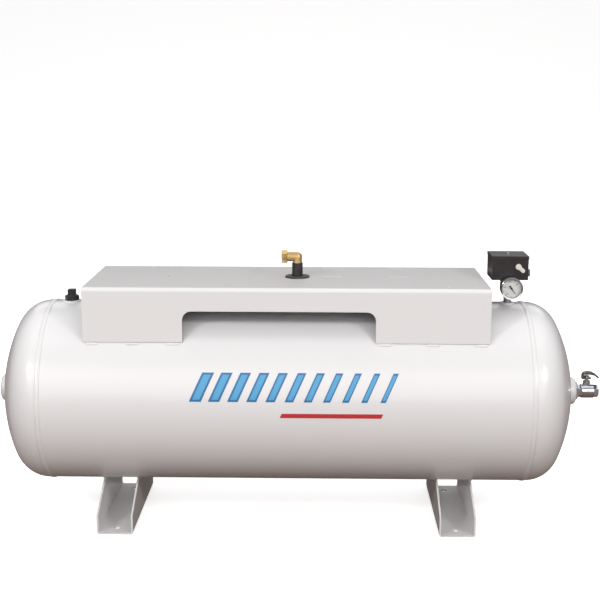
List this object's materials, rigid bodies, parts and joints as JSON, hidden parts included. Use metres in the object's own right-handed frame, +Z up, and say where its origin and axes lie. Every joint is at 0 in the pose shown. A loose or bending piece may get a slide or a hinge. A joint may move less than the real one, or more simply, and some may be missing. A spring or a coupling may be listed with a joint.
{
  "type": "air receiver tank",
  "caption": "Horizontal welded air receiver with domed ends, saddle feet, a machine platform on top, ball valve, check valve, pressure switch, gauge, safety valve and drain cock.",
  "frame": {"origin": "on the floor, at the middle of the four anchor holes, under the middle of the tank", "axes": "+X along the tank towards the outlet valve, -Y is the front, +Z up"},
  "size_m": [1.7065, 0.512, 0.7685],
  "materials": {
    "tank_paint": "gloss",
    "cast_black": "semi-gloss",
    "zinc_plate": "satin",
    "valve_chrome": "polished",
    "brass": "satin",
    "galvanised": "matt",
    "black_iron": "matt",
    "ptfe": "matt",
    "spring_steel": "satin",
    "seal_rubber": "matt",
    "valve_disc": "matt",
    "switch_plastic": "textured",
    "phenolic": "satin",
    "switch_base": "semi-gloss",
    "gauge_black": "satin",
    "gauge_dial": "matt",
    "gauge_lens": "clear",
    "gauge_ring": "polished",
    "pointer_black": "matt",
    "grey_plastic": "satin",
    "lever_plastic": "satin"
  },
  "bodies": {
    "tank": {"tank_shell": "tank_paint", "head_left": "tank_paint", "head_right": "tank_paint", "seam_welds": "tank_paint", "foot_left": "tank_paint", "foot_right": "tank_paint", "mounting_platform": "tank_paint", "fillet_welds": "tank_paint", "head_couplings": "tank_paint", "inch_couplings": "tank_paint", "control_coupling": "tank_paint", "drain_coupling": "tank_paint", "inspection_plug": "galvanised", "service_bushing": "cast_black", "service_plug": "cast_black", "outlet_bushing": "galvanised", "valve_body": "valve_chrome", "valve_end_piece": "valve_chrome", "valve_seats": "ptfe", "valve_packing": "ptfe", "valve_gland_nut": "zinc_plate", "check_valve_body": "black_iron", "check_valve_spring": "spring_steel", "inlet_elbow": "brass", "inlet_ferrule": "brass", "inlet_nut": "brass", "platform_grommet": "seal_rubber", "control_nipple": "galvanised", "control_manifold": "brass", "manifold_plugs": "brass", "switch_base": "switch_base", "switch_diaphragm": "seal_rubber", "switch_spring": "spring_steel", "switch_contact_block": "phenolic", "switch_cover": "switch_plastic", "switch_cover_screw": "zinc_plate", "switch_gland": "grey_plastic", "gauge_case": "gauge_black", "gauge_socket": "brass", "gauge_tube": "brass", "gauge_dial": "gauge_dial", "gauge_lens": "gauge_lens", "gauge_bezel": "gauge_ring", "safety_elbow": "brass", "safety_body": "brass", "safety_spring": "spring_steel", "safety_cap": "brass", "drain_elbow": "brass", "drain_cock_body": "brass"},
    "outlet_handle": {"valve_lever": "zinc_plate", "valve_lever_nut": "zinc_plate", "valve_stem": "spring_steel", "valve_ball": "valve_chrome"},
    "check_disc": {"check_valve_disc": "valve_disc"},
    "relief_stem": {"safety_stem": "spring_steel"},
    "relief_ring": {"safety_ring": "spring_steel"},
    "gauge_sector": {"gauge_sector": "brass"},
    "gauge_pointer": {"gauge_pointer": "pointer_black"},
    "switch_lever": {"switch_lever": "lever_plastic"},
    "drain_key": {"drain_cock_key": "brass"}
  },
  "joints": [
    {"name": "outlet_valve_turn", "type": "hinge", "parent": "tank", "child": "outlet_handle", "pos_m": [0.853, 0, 0.366], "axis": [0, 0, 1], "range_deg": [-90, 0]},
    {"name": "drain_cock_turn", "type": "hinge", "parent": "tank", "child": "drain_key", "pos_m": [0, 0.0635, 0.10189], "axis": [1, 0, 0], "range_deg": [0, 90]},
    {"name": "safety_valve_lift", "type": "slide", "parent": "tank", "child": "relief_stem", "axis": [0, 0, 1], "range_m": [0, 0.0025], "stiffness_N_per_m": 4000, "springref_m": -0.01, "deforming": ["safety_spring"]},
    {"name": "pull_ring_swing", "type": "hinge", "parent": "relief_stem", "child": "relief_ring", "pos_m": [0.61899, 0.084, 0.744], "axis": [0, -1, 0], "range_deg": [0, 296]},
    {"name": "gauge_sector_turn", "type": "hinge", "parent": "tank", "child": "gauge_sector", "pos_m": [0.60711, -0.054, 0.66212], "axis": [0, 1, 0], "range_deg": [-45, 0]},
    {"name": "gauge_pointer_turn", "type": "hinge", "parent": "tank", "child": "gauge_pointer", "pos_m": [0.61899, -0.06, 0.674], "axis": [0, 1, 0], "range_deg": [0, 270]},
    {"name": "switch_lever_turn", "type": "hinge", "parent": "tank", "child": "switch_lever", "pos_m": [0.64099, -0.034, 0.73], "axis": [0, 1, 0], "range_deg": [0, 80]},
    {"name": "check_valve_open", "type": "slide", "parent": "tank", "child": "check_disc", "axis": [0, 0, -1], "range_m": [0, 0.004], "stiffness_N_per_m": 150, "springref_m": -0.006, "deforming": ["check_valve_spring"]}
  ],
  "couplings": [
    {"joint": "gauge_pointer_turn", "follows": "gauge_sector_turn", "ratio": -6}
  ]
}
